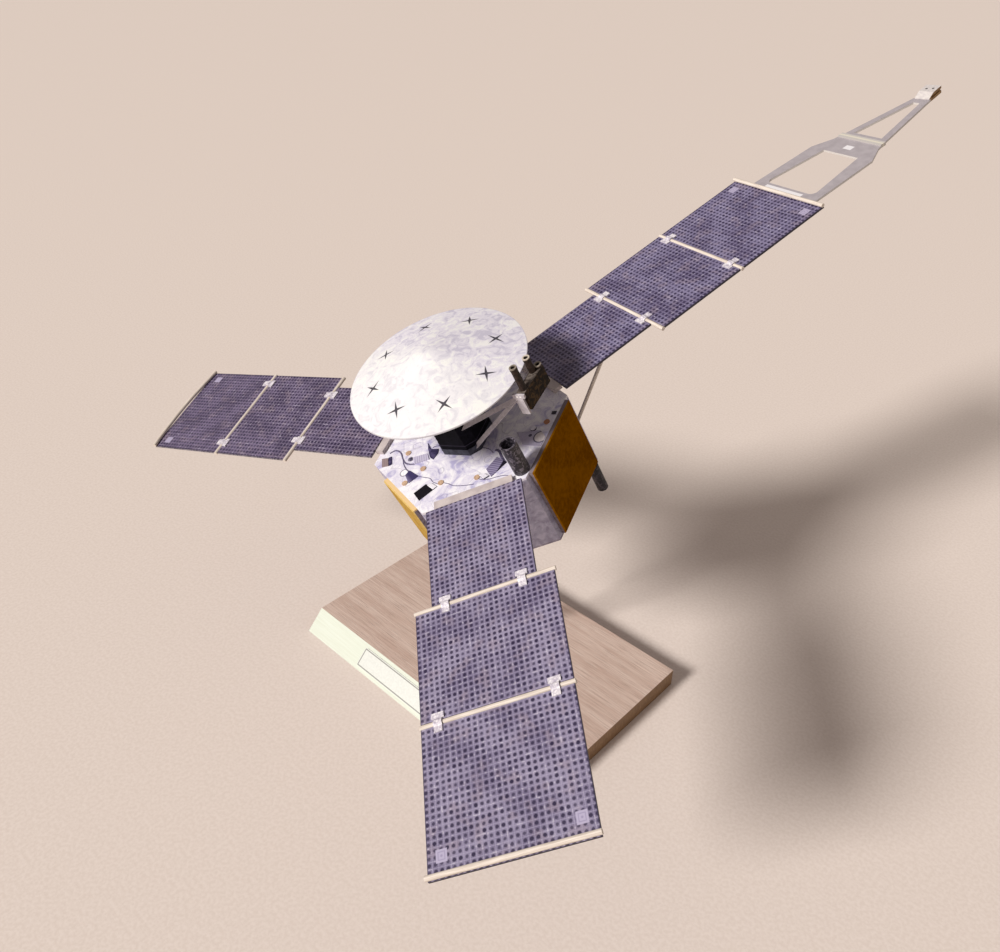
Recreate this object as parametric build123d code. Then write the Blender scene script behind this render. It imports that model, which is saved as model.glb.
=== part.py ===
from build123d import *
import os
from math import cos, radians, sqrt

# Card model of a three-winged spinning space probe on a small wooden base.
# Millimetres, +Z up. The origin is the middle of the base's underside.
# +X runs along the base's long side and -Y is the side with the bevel and the name label.
# Headings, droops, twists, leans and turns are in degrees.

# Wooden base
base_length = 163.0
base_top_depth = 94.0
base_thickness = 10.0
base_bevel = 10.0
rod_hole_depth = 6.0

# Blank name label, glued on the bevel
label_length = 85.0
label_width = 10.2
label_thickness = 0.3
label_corner = 1.6

# Support rod, a plain dowel that stands upright in the base
rod_diameter = 5.0
rod_x = 5.0
rod_y = 8.5
rod_clearance = 0.1
rod_to_body = 94.6

# How the probe leans on its rod: the spin axis leans towards a heading, then the body is turned
lean = 25.6
lean_heading = -110.0
body_turn = 155.8

# Card and sticks
card = 1.0
thin_card = 0.5
stick_diameter = 1.8
stick_sink = 0.4
stick_spare = 1.0
glue_gap = 0.05

# Hexagonal body, with a proud panel on every second side
body_across_flats = 78.6
body_height = 41.5
side_panel_foot_gap = 1.7
side_panel_proud = 2.3
side_panel_chamfer = 0.5
# (name, heading, where it starts and ends along the wall, from the wall's middle)
SIDE_PANELS = [
    ("right", -30.0, -20.0, 20.0),
    ("rear", 90.0, -20.0, 20.0),
    ("left", 210.0, -9.5, 18.3),
]

# Electronics vault, a square box with cut corners that carries the dish
vault_side = 20.5
vault_corner = 3.9
vault_turn = -28.0
vault_x = -0.7
vault_y = -3.4
vault_height = 24.0
vault_band_height = 3.3
vault_band_proud = 0.3

# Dish: a shallow cone of foil-printed paper over a bowl made of two cones
dish_radius = 38.4
dish_rim_height = 35.6
dish_cone_rise = 10.4
dish_paper = 0.6
dish_bowl_depth = 8.6
dish_bowl_knee_radius = 28.0
dish_bowl_knee_drop = 5.2
dish_bowl_base_radius = 12.0
dish_neck_radius = 8.0
dish_x = 1.8
dish_y = 0.5
dish_tip = 3.5

# Wings: where they start, how wide they are, and what is glued on them
wing_root = 41.0
wing_rise = 2.0
inner_panel_width = 41.6
outer_panel_width = 55.0
root_strip_width = 4.0
root_strip_length = 34.0
inner_clip_spacing = 30.4
outer_clip_spacing = 42.0
clip_reach = 3.5
clip_inner_width = 4.6
clip_outer_width = 3.1
strut_diameter = 1.6
strut_reach = 62.3
strut_offset = -19.4
strut_drop = 18.7

# Each wing's own angles and distances from the spin axis
# (name, heading, droop, twist, first joint, second joint, tip, bow of the tip stick)
WINGS = [
    ("front", -89.1, -1.9, 0.8, 88.4, 134.5, 185.0, 0.0),
    ("left", 149.7, 0.5, 1.8, 89.6, 137.5, 184.9, 1.9),
    ("right", 29.6, -2.6, -0.8, 89.4, 135.5, 185.2, 0.0),
]

# Magnetometer boom at the end of the right wing: a wide frame, a fold strip and a narrow frame
boom_droop = -3.0
boom_shift = -2.0
boom_root_half = 19.3
boom_waist = 38.5
boom_waist_half = 18.3
boom_neck = 48.5
boom_neck_half = 13.3
boom_fold = 50.6
boom_fold_half = 12.8
boom_fold_width = 3.2
boom_fold_rise = 0.6
boom_opening_start = 4.8
boom_opening_half = 14.8
boom_opening_end = 38.4
boom_opening_end_half = 10.3
boom_opening_corner = 3.0
boom_arm_end = 94.5
boom_arm_half = 12.0
boom_arm_end_half = 4.3
boom_arm_bar = 3.3
boom_arm_opening_start = 56.4
boom_arm_opening_end = 90.0
sensor_length = 10.5
sensor_width = 7.5
sensor_height = 3.6
sensor_slot = 1.0
sensor_slope_length = 4.0
sensor_slope_drop = 1.7
sensor_turn = 8.0
sensor_overlap = 0.9
sensor_rise = 2.0

# Thruster tower beside the dish: a pod with three nozzle tubes on a bracket, held by two flat stays
tower_heading = -30.0
# Plan of the pod: (reach from the spin axis, place across the tower)
POD_PLAN = [(39.8, -5.0), (43.5, -5.0), (44.8, 10.4), (40.6, 10.4)]
pod_foot_height = 21.0
pod_top_height = 30.0
tube_diameter = 2.9
tube_bore = 1.9
tube_collar = 3.1
tube_collar_height = 1.4
# Each tube: reach, place across, height of its mouth
TUBES = [
    (42.1, -2.8, 41.5),
    (41.8, 6.7, 37.4),
    (43.4, 9.3, 31.4),
]
bracket_thickness = 1.0
bracket_bar_reach = (38.0, 43.3)
bracket_bar_height = (27.8, 29.6)
bracket_foot_reach = (38.6, 42.2)
bracket_foot_height = 19.2
stay_width = 1.9
stay_thickness = 0.6
stay_start = (39.0, -5.5, 27.2)
# Where the stays end on the vault, from its middle
STAY_ENDS = [
    (8.9, -7.7, 14.6),
    (9.5, -7.1, 2.7),
]

# Foil-covered tubes at the body's corners
foil_tube_wall = 0.7
deck_tube_diameter = 7.0
deck_tube_height = 15.5
deck_tube_reach = 40.2
deck_tube_heading = -57.5
lower_tube_diameter = 5.2
lower_tube_height = 15.6
lower_tube_reach = 42.5
lower_tube_heading = -3.4

# Flat card pieces on the deck, given by their corners about the spin axis
deck_piece_thickness = 0.4
DARK_PIECES = [
    [(-26.2, -26.6), (-23.9, -31.6), (-17.6, -28.3), (-20.5, -23.7)],
    [(-19.1, 1.0), (-19.0, -3.2), (-18.3, -8.3), (-16.9, -10.3), (-14.5, -7.5), (-14.2, -5.0), (-17.6, -3.6)],
    [(-30.1, -14.0), (-28.6, -19.4), (-24.0, -17.2), (-28.0, -12.1)],
    [(6.6, -27.2), (8.4, -32.2), (15.7, -27.1), (11.8, -22.4)],
    [(-38.2, 0.5), (-38.0, -4.4), (-36.6, -4.1), (-36.7, 0.7)],
]
LIGHT_PIECES = [
    [(-26.3, -4.8), (-25.8, -9.2), (-18.7, -9.4), (-19.5, -5.4)],
    [(-41.4, 1.3), (-41.4, -3.8), (-38.3, -4.4), (-38.5, 0.5)],
    [(21.5, -12.1), (23.4, -20.7), (30.8, -24.5), (33.3, -20.3), (31.8, -15.9)],
]
disc_radius = 1.3
DISCS = [
    (-28.6, -0.9),
    (-21.7, -13.8),
    (-13.8, -25.7),
    (2.3, -29.8),
    (-30.4, -18.6),
    (34.9, -11.9),
]

body_apothem = body_across_flats / 2
body_corner = body_apothem / cos(radians(30))
base_depth = base_top_depth + base_bevel
top_back = base_depth / 2
top_front = top_back - base_top_depth
stick_radius = stick_diameter / 2
stick_length = outer_panel_width + stick_spare
right_wing = WINGS[2]
half_turn = 180.0

bottom_deck_centre = Pos(rod_x, rod_y, base_thickness + rod_to_body)
lean_turn = Rot(Z=lean_heading) * Rot(Y=lean) * Rot(Z=body_turn)
probe = bottom_deck_centre * lean_turn * Pos(0, 0, body_height)
dish_place = Pos(dish_x, dish_y, dish_rim_height) * Rot(Y=dish_tip)
vault_place = Pos(vault_x, vault_y, 0) * Rot(Z=vault_turn)
tower_place = probe * Rot(Z=tower_heading)
standing = (Align.CENTER, Align.CENTER, Align.MIN)

os.makedirs("parts", exist_ok=True)
written = []


def save(name, shape):
    """Write one node; a list of solids becomes one compound."""
    if isinstance(shape, (list, tuple)):
        shape = Compound(children=list(shape))
    export_step(shape, f"parts/{name}.step")
    written.append(name)


def polygon(points):
    """Flat face from its corners."""
    return make_face(Polyline(*points, close=True))


def hexagon(across_flats, height, top):
    """Six-sided prism about the spin axis, with a flat towards every wing."""
    outline = RegularPolygon(radius=across_flats / 2 / cos(radians(30)), side_count=6)
    return Pos(0, 0, top - height) * extrude(outline, height)


def box_between(x0, x1, y0, y1, z0, z1):
    """Box from its low and high corners."""
    return Pos((x0 + x1) / 2, (y0 + y1) / 2, (z0 + z1) / 2) * Box(x1 - x0, y1 - y0, z1 - z0)


def stick_between(start, end, diameter):
    """Round stick from one point to another."""
    direction = Vector(*end) - Vector(*start)
    return extrude(Plane(origin=start, z_dir=direction) * Circle(diameter / 2), direction.length)


def strip_between(start, end, facing, width, thickness):
    """Flat strip from one point to another, its wide face turned towards a direction."""
    direction = end - start
    plane = Plane(origin=start, x_dir=direction.cross(facing), z_dir=direction)
    return extrude(plane * Rectangle(width, thickness), direction.length)


def base_board():
    """Board with a sloping front face and a hole for the rod."""
    profile = Plane.YZ * polygon([
        (-top_back, 0), (top_back, 0), (top_back, base_thickness), (top_front, base_thickness)])
    board = Pos(-base_length / 2, 0, 0) * extrude(profile, base_length)
    hole = Pos(rod_x, rod_y, base_thickness - rod_hole_depth) * Cylinder(
        rod_diameter / 2 + rod_clearance, rod_hole_depth, align=standing)
    return board - hole


def name_label():
    """Thin blank plate with rounded corners on the middle of the bevel."""
    middle = (0, (top_front - top_back) / 2, base_thickness / 2)
    slope = Plane(origin=middle, x_dir=(1, 0, 0), z_dir=(0, -base_thickness, base_bevel))
    return extrude(slope * RectangleRounded(label_length, label_width, label_corner), label_thickness)


def tall_rod(radius, foot):
    """Upright round bar on the rod's axis, from a height to above the whole body."""
    return Pos(rod_x, rod_y, foot) * Cylinder(radius, rod_to_body + 2 * body_height, align=standing)


def support_rod():
    """Dowel from the base's hole to the underside of the top deck, cut to the deck's slope."""
    rod = tall_rod(rod_diameter / 2, base_thickness - rod_hole_depth)
    above_deck = Pos(0, 0, -card) * Box(4 * body_corner, 4 * body_corner, 4 * body_height, align=standing)
    return rod - probe * above_deck


def body_walls():
    """Six card walls between the decks."""
    height = body_height - 2 * card
    return probe * (hexagon(body_across_flats, height, -card) - hexagon(body_across_flats - 2 * card, height, -card))


def top_deck():
    """Plain deck under the vault and the dish."""
    return probe * hexagon(body_across_flats, card, 0)


def bottom_deck():
    """Deck with a hole that the rod passes through."""
    return probe * hexagon(body_across_flats, card, card - body_height) - tall_rod(
        rod_diameter / 2 + rod_clearance, base_thickness)


def side_panel(heading, start, end):
    """Proud panel with a bevelled rim on one side of the body."""
    plate = box_between(
        body_apothem, body_apothem + side_panel_proud, start, end, side_panel_foot_gap - body_height, 0)
    rim = plate.faces().sort_by(Axis.X)[-1].edges()
    return probe * Rot(Z=heading) * chamfer(rim, side_panel_chamfer)


def vault_outline(grow):
    """Square with cut corners, grown by a margin on every side."""
    square = Rectangle(vault_side + 2 * grow, vault_side + 2 * grow)
    return chamfer(square.vertices(), vault_corner)


def vault_box():
    """Box with cut corners."""
    return probe * vault_place * extrude(vault_outline(0), vault_height)


def vault_band():
    """Band around the foot of the vault."""
    ring = vault_outline(vault_band_proud) - vault_outline(0)
    return probe * vault_place * extrude(ring, vault_band_height)


def dish_cover():
    """Shallow cone of paper, its point up, closed by a flat back at the rim."""
    profile = Plane.XZ * polygon([
        (0, -dish_paper), (dish_radius, -dish_paper), (dish_radius, 0), (0, dish_cone_rise)])
    return probe * dish_place * revolve(profile, Axis.Z)


def dish_bowl():
    """Bowl of two cones under the cover, with a neck that stands on the vault."""
    rim = dish_radius - 2 * dish_paper
    low = -dish_paper - dish_bowl_depth
    profile = Plane.XZ * polygon([
        (0, -dish_paper), (rim, -dish_paper), (dish_bowl_knee_radius, -dish_bowl_knee_drop),
        (dish_bowl_base_radius, low), (0, low)])
    neck_height = dish_rim_height + low / 2 - vault_height
    neck = Pos(dish_x, dish_y, vault_height) * Cylinder(dish_neck_radius, neck_height, align=standing)
    return probe * (dish_place * revolve(profile, Axis.Z) + neck)


def foil_tube(heading, reach, diameter, height, foot):
    """Open tube that stands on a deck, or hangs below it if its height is negative."""
    side = (Align.CENTER, Align.CENTER, Align.MIN if height > 0 else Align.MAX)
    outer = Cylinder(diameter / 2, abs(height), align=side)
    inner = Cylinder(diameter / 2 - foil_tube_wall, abs(height), align=side)
    return probe * Rot(Z=heading) * Pos(reach, 0, foot) * (outer - inner)


def deck_pieces(outlines):
    """Flat card pieces on the deck."""
    return [probe * extrude(polygon(outline), deck_piece_thickness) for outline in outlines]


def deck_discs():
    """Small round card pieces on the deck."""
    disc = Cylinder(disc_radius, deck_piece_thickness, align=standing)
    return [probe * Pos(x, y, 0) * disc for x, y in DISCS]


def wing_place(wing):
    """Place of a wing, with x outwards from the spin axis, y across and z off its top face."""
    heading, droop, twist = wing[1:4]
    hinge = Rot(Z=heading) * Pos(wing_root, 0, wing_rise) * Rot(Y=-droop) * Rot(X=twist)
    return probe * hinge * Pos(-wing_root, 0, 0)


def wing_panels(wing):
    """Inner, middle and outer panel; a joint stick lies between each two."""
    joint_1, joint_2, tip = wing[4:7]
    half = stick_radius + glue_gap
    spans = {
        "inner": (wing_root + glue_gap, joint_1 - half, inner_panel_width),
        "middle": (joint_1 + half, joint_2 - half, outer_panel_width),
        "outer": (joint_2 + half, tip, outer_panel_width),
    }
    for name, (start, end, width) in spans.items():
        panel = box_between(start, end, -width / 2, width / 2, -card, 0)
        save(f"wing_{wing[0]}_{name}_panel", wing_place(wing) * panel)


def joint_sticks(wing):
    """Round sticks sunk between the panels at the two joints."""
    stick = Rot(X=90) * Cylinder(stick_radius, stick_length)
    return [wing_place(wing) * Pos(reach, 0, -stick_sink) * stick for reach in wing[4:6]]


def tip_stick(wing):
    """Round stick on top of the outer panel's end; a bowed one bends outwards in the middle."""
    tip, bow = wing[6:8]
    reach = tip - stick_radius
    half = stick_length / 2
    ends = (reach, -half, stick_radius), (reach, half, stick_radius)
    if bow:
        path = ThreePointArc(ends[0], (reach + bow, 0, stick_radius), ends[1])
    else:
        path = Line(*ends)
    section = Plane(origin=path @ 0, z_dir=path % 0) * Circle(stick_radius)
    return wing_place(wing) * sweep(section, path=path)


def clip():
    """Folded paper clip: a wide plate on the inner side, an arch over the stick, a narrow plate beyond it."""
    crown = stick_radius - stick_sink + glue_gap
    lip = stick_radius + thin_card
    shoulder = stick_radius / 2 + glue_gap
    arch = Plane.XZ * polygon([
        (-lip, 0), (-lip, thin_card), (-shoulder, crown + thin_card), (shoulder, crown + thin_card),
        (lip, thin_card), (lip, 0), (stick_radius, 0), (shoulder, crown), (-shoulder, crown), (-stick_radius, 0)])
    half_inner = clip_inner_width / 2
    half_outer = clip_outer_width / 2
    return (extrude(arch, half_outer, both=True)
            + box_between(-clip_reach, -lip, -half_inner, half_inner, 0, thin_card)
            + box_between(lip, clip_reach, -half_outer, half_outer, 0, thin_card))


def wing_clips(wing):
    """Two clips over each joint stick."""
    clips = []
    for reach, spacing in ((wing[4], inner_clip_spacing), (wing[5], outer_clip_spacing)):
        for side in (-1, 1):
            clips.append(wing_place(wing) * Pos(reach, side * spacing / 2, 0) * clip())
    return clips


def root_strip(wing):
    """Strip on the deck's edge that the wing butts against."""
    half = root_strip_length / 2
    strip = box_between(wing_root - root_strip_width, wing_root, -half, half, 0, wing_rise)
    return probe * Rot(Z=wing[1]) * strip


def wing_strut(wing):
    """Stick from the body's side up to the inner panel, cut flush at both ends."""
    spare = 3.0
    under = wing_rise - card
    rise = (under + strut_drop) / (strut_reach - body_apothem)
    body = probe * hexagon(body_across_flats, 2 * body_height, body_height / 2)
    above = wing_place(wing) * box_between(
        wing_root, wing[4], -outer_panel_width, outer_panel_width, -card, 4 * spare)
    low = (body_apothem - spare, strut_offset, -strut_drop - spare * rise)
    high = (strut_reach + spare, strut_offset, under + spare * rise)
    return probe * Rot(Z=wing[1]) * stick_between(low, high, strut_diameter) - body - above


def boom_place():
    """Place of the boom, with x outwards from the tip of the right wing and z off its top face."""
    return wing_place(right_wing) * Pos(right_wing[6] + glue_gap, boom_shift, 0) * Rot(Y=-boom_droop)


def mirrored_outline(points):
    """Face from the corners of its left half, mirrored about the boom's middle line."""
    return polygon(points + [(x, -y) for x, y in reversed(points)])


def boom_lower_frame():
    """Flat card frame with a four-sided opening, rounded at the wing's end."""
    outline = mirrored_outline([
        (0, boom_root_half), (boom_waist, boom_waist_half), (boom_neck, boom_neck_half), (boom_fold, boom_fold_half)])
    opening = mirrored_outline([
        (boom_opening_start, boom_opening_half), (boom_opening_end, boom_opening_end_half)])
    opening = fillet(opening.vertices().sort_by(Axis.X)[:2], boom_opening_corner)
    return boom_place() * Pos(0, 0, -card) * extrude(outline - opening, card)


def boom_fold_strip():
    """Raised strip across the fold between the two frames."""
    return boom_place() * box_between(
        boom_fold, boom_fold + boom_fold_width, -boom_fold_half, boom_fold_half, -card, boom_fold_rise)


def boom_arm_outline():
    """Tapered outline of the narrow frame."""
    return mirrored_outline([(boom_fold + boom_fold_width, boom_arm_half), (boom_arm_end, boom_arm_end_half)])


def boom_upper_frame():
    """Narrow A-shaped frame that carries the sensor."""
    start = boom_fold + boom_fold_width
    slope = (boom_arm_half - boom_arm_end_half) / (boom_arm_end - start)
    bar = boom_arm_bar * sqrt(1 + slope * slope)
    near_half = boom_arm_half - slope * (boom_arm_opening_start - start) - bar
    far_half = boom_arm_half - slope * (boom_arm_opening_end - start) - bar
    opening = mirrored_outline([(boom_arm_opening_start, near_half), (boom_arm_opening_end, far_half)])
    return boom_place() * Pos(0, 0, -card) * extrude(boom_arm_outline() - opening, card)


def sensor_box():
    """Small box on the boom's end, its top sloping down to the boom, with a slot along each side."""
    half = sensor_width / 2
    low = (sensor_height - sensor_slot) / 2
    profile = Plane.XZ * polygon([
        (0, 0), (sensor_length, 0), (sensor_length, sensor_height), (sensor_slope_length, sensor_height),
        (0, sensor_height - sensor_slope_drop)])
    box = extrude(profile, half, both=True)
    for side in (-1, 1):
        edge = side * half
        box = box - box_between(
            2 * sensor_slot, sensor_length, edge - sensor_slot / 2, edge + sensor_slot / 2, low, low + sensor_slot)
    box = Pos(boom_arm_end - sensor_overlap, 0, sensor_rise - sensor_height) * Rot(Z=sensor_turn) * box
    return boom_place() * (box - Pos(0, 0, -card) * extrude(boom_arm_outline(), card))


def pod():
    """Box beside the dish, its outer side a little askew."""
    return Pos(0, 0, pod_foot_height) * extrude(polygon(POD_PLAN), pod_top_height - pod_foot_height)


def pod_tubes():
    """Rolled nozzle tubes on the pod, each with a wider mouth."""
    tubes = []
    for reach, across, mouth in TUBES:
        length = mouth - pod_top_height
        tube = Cylinder(tube_diameter / 2, length, align=standing)
        collar = Pos(0, 0, length - tube_collar_height) * Cylinder(
            tube_collar / 2, tube_collar_height, align=standing)
        bore = Cylinder(tube_bore / 2, length, align=standing)
        tubes.append(tower_place * Pos(reach, across, pod_top_height) * (tube + collar - bore))
    return tubes


def tower_frame():
    """Bar and foot on the pod's near end, and the two flat stays from there to the vault, glued as one."""
    near = POD_PLAN[0][1]
    behind = near - bracket_thickness
    bar = box_between(*bracket_bar_reach, behind, near, *bracket_bar_height)
    foot = box_between(*bracket_foot_reach, behind, near, bracket_foot_height, bracket_bar_height[0])
    turn = Rot(Z=tower_heading)
    start = (turn * Pos(*stay_start)).position
    facing = (turn * Pos(0, -1, 1)).position
    frame = turn * (bar + foot)
    for stay_end in STAY_ENDS:
        end = (vault_place * Pos(*stay_end)).position
        beyond = end + (end - start).normalized() * stay_width
        frame = frame + strip_between(start, beyond, facing, stay_width, stay_thickness)
    vault = vault_place * (
        extrude(vault_outline(0), vault_height) + extrude(vault_outline(vault_band_proud), vault_band_height))
    deck = hexagon(body_across_flats, body_height, 0)
    return probe * (frame - turn * pod() - vault - deck)


save("base_board", base_board())
save("name_label", name_label())
save("support_rod", support_rod())
save("body_walls", body_walls())
save("top_deck", top_deck())
save("bottom_deck", bottom_deck())
for side, heading, start, end in SIDE_PANELS:
    save(f"side_panel_{side}", side_panel(heading, start, end))
save("vault_box", vault_box())
save("vault_band", vault_band())
save("dish_cover", dish_cover())
save("dish_bowl", dish_bowl())
save("deck_tubes", [
    foil_tube(heading, deck_tube_reach, deck_tube_diameter, deck_tube_height, 0)
    for heading in (deck_tube_heading, 60 - deck_tube_heading)])
save("lower_tubes", [
    foil_tube(heading, lower_tube_reach, lower_tube_diameter, -lower_tube_height, -body_height)
    for heading in (lower_tube_heading, lower_tube_heading + half_turn)])
save("deck_dark_pieces", deck_pieces(DARK_PIECES))
save("deck_light_pieces", deck_pieces(LIGHT_PIECES))
save("deck_discs", deck_discs())
save("tower_right_pod", tower_place * pod())
save("tower_right_tubes", pod_tubes())
save("tower_right_frame", tower_frame())
for wing in WINGS:
    save(f"wing_{wing[0]}_root_strip", root_strip(wing))
    wing_panels(wing)
    save(f"wing_{wing[0]}_sticks", joint_sticks(wing) + [tip_stick(wing)])
    save(f"wing_{wing[0]}_clips", wing_clips(wing))
    save(f"wing_{wing[0]}_struts", wing_strut(wing))
save("boom_lower_frame", boom_lower_frame())
save("boom_fold_strip", boom_fold_strip())
save("boom_upper_frame", boom_upper_frame())
save("boom_sensor_box", sensor_box())
print(len(written), "nodes")
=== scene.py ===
# %% [markdown]
# # A card model of a space probe, dressed in Blender
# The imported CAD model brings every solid: the wooden base, the leaning body, the dish, three wings
# and the boom. This lesson gives each of them the finish of the real model, which is mostly printed
# card, with a few thin pieces added by numpy. All meshes are in metres, in the CAD model's own frame.

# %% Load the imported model
import math

import bpy
import numpy as np
from mathutils import Matrix, Vector


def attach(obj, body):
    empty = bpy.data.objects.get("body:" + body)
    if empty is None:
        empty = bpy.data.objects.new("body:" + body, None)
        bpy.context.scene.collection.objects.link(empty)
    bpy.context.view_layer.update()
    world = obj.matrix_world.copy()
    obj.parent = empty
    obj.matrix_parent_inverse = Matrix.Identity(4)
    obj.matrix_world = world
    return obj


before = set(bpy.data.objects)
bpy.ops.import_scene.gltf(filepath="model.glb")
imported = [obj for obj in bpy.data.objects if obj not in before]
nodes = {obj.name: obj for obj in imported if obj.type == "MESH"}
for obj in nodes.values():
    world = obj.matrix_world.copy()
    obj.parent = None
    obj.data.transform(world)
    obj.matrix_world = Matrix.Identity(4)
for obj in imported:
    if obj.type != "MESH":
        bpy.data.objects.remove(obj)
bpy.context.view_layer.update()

print("CAD nodes:", len(nodes))

# %% [markdown]
# ## Measures shared with the CAD model
# The probe leans on its rod and is turned about its own axis, so nothing on it lines up with the
# world. A print that follows a wing has to be drawn in that wing's own frame. The same chain of
# turns and shifts as in the CAD model gives one matrix for each frame. Lengths are in millimetres
# here and become metres in the shift, and angles are in degrees.

# %% Frames of the body, the wings, the boom and the dish
MM = 0.001
CARD = 1.0
BODY_HEIGHT = 41.5
ROD_TOP = (5.0, 8.5, 104.6)
LEAN = 25.6
LEAN_HEADING = -110.0
BODY_TURN = 155.8
DISH_RIM = (1.8, 0.5, 35.6)
DISH_TIP = 3.5
VAULT_MIDDLE = (-0.7, -3.4, 0.0)
VAULT_TURN = -28.0
TOWER_HEADING = -30.0
WING_ROOT = 41.0
WING_RISE = 2.0
BOOM_START = (185.25, -2.0, 0.0)
BOOM_DROOP = -3.0
LABEL_MIDDLE = (0.0, -47.1, 5.0)
BEVEL_SLOPE = 45.0

# (heading, droop, twist, first joint, second joint, tip)
WINGS = {
    "front": (-89.1, -1.9, 0.8, 88.4, 134.5, 185.0),
    "left": (149.7, 0.5, 1.8, 89.6, 137.5, 184.9),
    "right": (29.6, -2.6, -0.8, 89.4, 135.5, 185.2),
}


def turned(axis, degrees):
    """Matrix that turns about one axis."""
    return Matrix.Rotation(math.radians(degrees), 4, axis)


def moved(x, y, z):
    """Matrix that shifts by millimetres."""
    return Matrix.Translation((x * MM, y * MM, z * MM))


leaning = moved(*ROD_TOP) @ turned("Z", LEAN_HEADING) @ turned("Y", LEAN)
probe = leaning @ turned("Z", BODY_TURN) @ moved(0, 0, BODY_HEIGHT)
dish = probe @ moved(*DISH_RIM) @ turned("Y", DISH_TIP)
vault = probe @ moved(*VAULT_MIDDLE) @ turned("Z", VAULT_TURN)
tower = probe @ turned("Z", TOWER_HEADING)


def wing_frame(name):
    """Frame of a wing: x outwards from the spin axis, y across, z off the printed face."""
    heading, droop, twist = WINGS[name][:3]
    hinge = turned("Z", heading) @ moved(WING_ROOT, 0, WING_RISE) @ turned("Y", -droop) @ turned("X", twist)
    return probe @ hinge @ moved(-WING_ROOT, 0, 0)


boom = wing_frame("right") @ moved(*BOOM_START) @ turned("Y", -BOOM_DROOP)
label = moved(*LABEL_MIDDLE) @ turned("X", BEVEL_SLOPE)
board = Matrix.Identity(4)
print("probe's deck is at", [round(v / MM, 1) for v in probe.translation])

# %% [markdown]
# ## Colours and nodes
# Colours are written as the hex values that a paint program shows, and Blender's shaders want them
# linear, so one function converts them. Another one adds any node, so a material reads as a short
# list of nodes.

# %% Colours and nodes
# Every mix here is of colours, and every threshold is smooth
USUAL = {"Mix": {"data_type": "RGBA"}, "MapRange": {"interpolation_type": "SMOOTHSTEP"}}


def colour(hex_text):
    """sRGB hex to linear RGBA: c / 12.92 below 0.04045, else ((c + 0.055) / 1.055) to the power 2.4."""
    c = np.array([int(hex_text[i:i + 2], 16) for i in (1, 3, 5)]) / 255
    linear = np.where(c <= 0.04045, c / 12.92, ((c + 0.055) / 1.055) ** 2.4)
    return (*linear.tolist(), 1.0)


def add(material, kind, *values, **named):
    """Adds a node to a material or the world, and gives its first live output.

    Values without a name fill the node's live inputs in order. A name in lower case is one of the
    node's properties, and any other name is an input. A value is a number, a vector, a socket that
    is linked, or a colour in hex.
    """
    named = {**USUAL.get(kind, {}), **named}
    tree = material.node_tree
    made = tree.nodes.new("ShaderNode" + kind)
    for name, value in named.items():
        if name.islower():
            setattr(made, name, value)
    live = [socket for socket in made.inputs if socket.enabled]
    filled = list(zip(live, values))
    filled += [(made.inputs[name], value) for name, value in named.items() if not name.islower()]
    for socket, value in filled:
        if isinstance(value, bpy.types.NodeSocket):
            tree.links.new(value, socket)
        else:
            socket.default_value = colour(value) if isinstance(value, str) else value
    return next(socket for socket in made.outputs if socket.enabled)


print("white is", colour("#FFFFFF"))

# %% [markdown]
# ## Materials in the frame of their piece
# A print is drawn in millimetres in the frame of its piece. Object coordinates are metres in the CAD
# model's frame, so a mapping takes them from there. Every material starts that way, and ends with its
# colour and a fine relief, because no card, paper or wood is quite smooth.

# %% Places, materials and their finish


def in_millimetres(material, place, stretch=(1, 1, 1)):
    """Object coordinates seen from a frame, in millimetres, each divided by its stretch."""
    coordinates = add(material, "TexCoord").node.outputs["Object"]
    scale = tuple(MM * s for s in stretch)
    turn = tuple(place.to_euler("XYZ"))
    return add(material, "Mapping", coordinates, tuple(place.translation), turn, scale, vector_type="TEXTURE")


def new_material(name, place, roughness, stretch=(1, 1, 1), **constants):
    """Empty material and a point in its frame. Its constants go straight on the shader's sockets."""
    material = bpy.data.materials.new(name)
    material.use_nodes = True
    shader = material.node_tree.nodes["Principled BSDF"]
    shader.inputs["Roughness"].default_value = roughness
    for key, value in constants.items():
        shader.inputs[key.replace("_", " ")].default_value = value
    return material, in_millimetres(material, place, stretch)


def finish(material, base, height, depth, strength=0.5):
    """Links the colour, and a height from 0 to 1 as a bump of that many millimetres."""
    shader = material.node_tree.nodes["Principled BSDF"]
    bump = add(material, "Bump", Strength=strength, Distance=depth * MM, Height=height)
    material.node_tree.links.new(base, shader.inputs["Base Color"])
    material.node_tree.links.new(bump, shader.inputs["Normal"])
    return material


def dress(names, material):
    """Puts one material on CAD nodes."""
    for name in names:
        for material_slot in nodes[name].material_slots:
            material_slot.material = material


print("one millimetre is", MM, "m")

# %% [markdown]
# ## Blobs of ink
# A print on card is soft blobs of ink, and more tones are printed over them. Fractal noise with a
# smooth threshold gives the blobs. Its scale is one over their size, its detail says how many finer
# sizes lie in each, and its roughness how strong those are.

# %% Mottling and layers


def graded(material, value, low, high, under, over, amount=1):
    """One tone below the low value, and up to the amount of another over it above the high value."""
    share = add(material, "MapRange", value, low, high, 0, amount)
    return add(material, "Mix", share, under, over)


def mottled(material, point, size, tones, low=0.3, high=0.7, detail=4, grit=0.5):
    """Two tones in soft blobs: (colour, noise). The size is the coarsest blobs' size in millimetres."""
    noise = add(material, "TexNoise", Vector=point, Scale=1 / size, Detail=detail, Roughness=grit)
    return graded(material, noise, low, high, *tones), noise


def blotted(material, point, size, ground, tone, low, high, amount, detail=3):
    """Blobs of a tone over a ground, as dense as the amount."""
    noise = add(material, "TexNoise", Vector=point, Scale=1 / size, Detail=detail)
    return graded(material, noise, low, high, ground, tone, amount)


def layered(material, base, *layers):
    """Tones printed over a base one after another, each as dense as its mask."""
    for mask, tone in layers:
        base = add(material, "Mix", mask, base, tone)
    return base


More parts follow.
